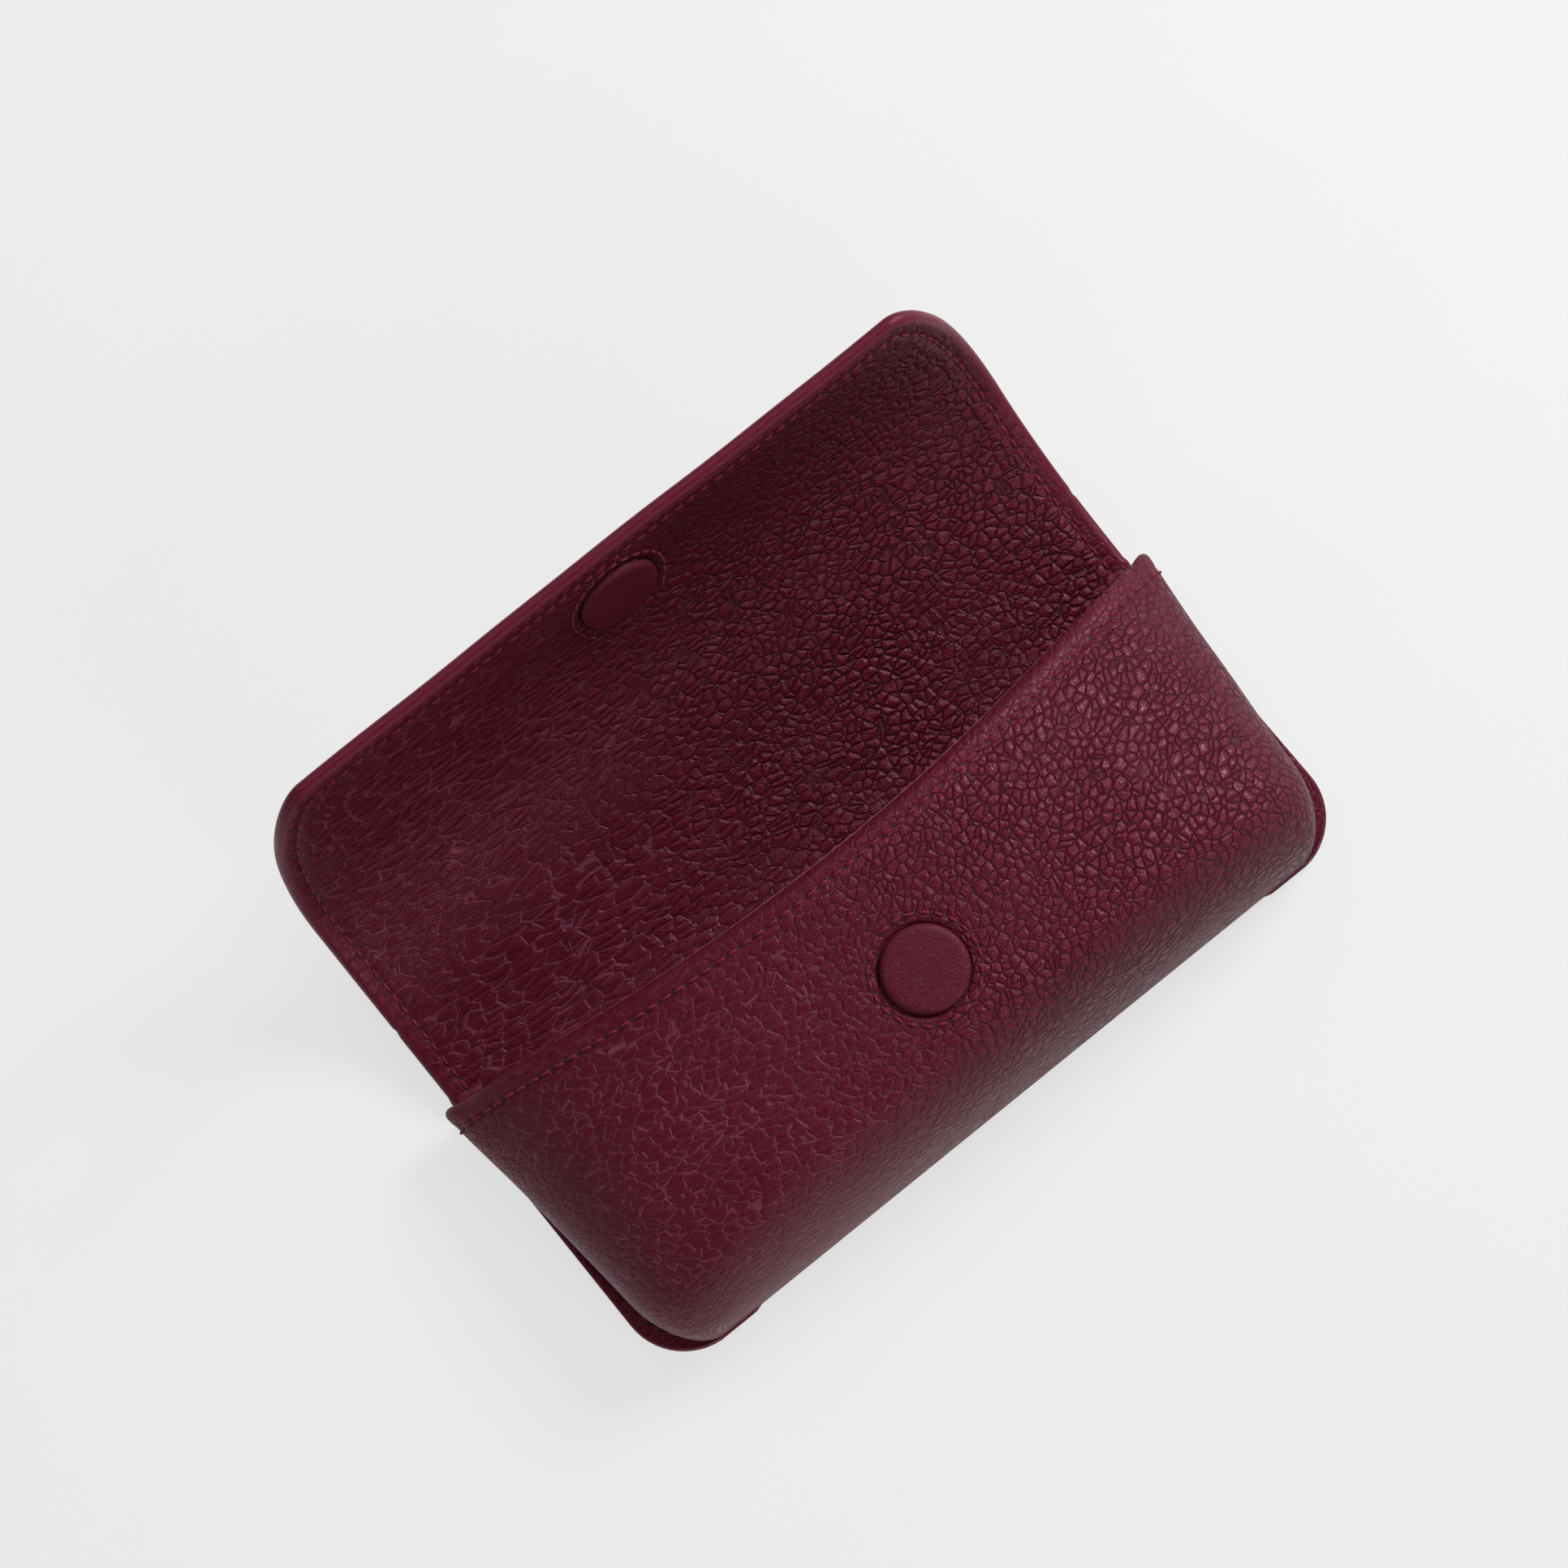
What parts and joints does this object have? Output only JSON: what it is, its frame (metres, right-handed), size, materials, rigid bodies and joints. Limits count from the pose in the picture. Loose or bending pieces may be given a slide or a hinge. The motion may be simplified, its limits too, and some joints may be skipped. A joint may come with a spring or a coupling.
{
  "type": "soft pouch glasses case",
  "caption": "Soft leather pouch glasses case with a moulded front pocket and a wrap-over flap closed by covered magnets.",
  "frame": {"origin": "centre of the back panel's flat underside", "axes": "+X along the width, +Y from the bottom fold towards the flap, +Z from the back out to the front"},
  "size_m": [0.1638, 0.1159, 0.0565],
  "materials": {
    "outer_leather": "pebbled, soft sheen",
    "lining_leather": "pebbled, soft sheen",
    "smooth_leather": "fine grain, satin",
    "thread": "waxed thread",
    "board": "plain",
    "magnet": "nickel plated"
  },
  "bodies": {
    "pouch": {"back_panel": "outer_leather", "back_board": "board", "back_lining": "lining_leather", "front_panel": "outer_leather", "front_board": "board", "front_lining": "lining_leather", "front_magnet": "magnet", "front_magnet_cover": "smooth_leather", "mouth_stitching": "thread", "left_seam_stitching": "thread", "right_seam_stitching": "thread", "front_magnet_stitching": "thread"},
    "flap_root": {"flap_root_panel": "outer_leather", "flap_root_board": "board", "flap_root_lining": "lining_leather", "flap_left_stitching": "thread", "flap_right_stitching": "thread"},
    "flap_lip": {"flap_lip_panel": "outer_leather", "flap_lip_board": "board", "flap_lip_lining": "lining_leather", "flap_magnet": "magnet", "flap_magnet_cover": "smooth_leather", "flap_lip_stitching": "thread", "flap_magnet_stitching": "thread"}
  },
  "joints": [
    {"name": "flap_hinge", "type": "hinge", "parent": "pouch", "child": "flap_root", "pos_m": [0, 0.0313, 0.0028], "axis": [1, 0, 0], "range_deg": [-12, 83]},
    {"name": "flap_fold", "type": "hinge", "parent": "flap_root", "child": "flap_lip", "pos_m": [0, 0.06402, 0.01656], "axis": [1, 0, 0], "range_deg": [-30, 36]}
  ]
}
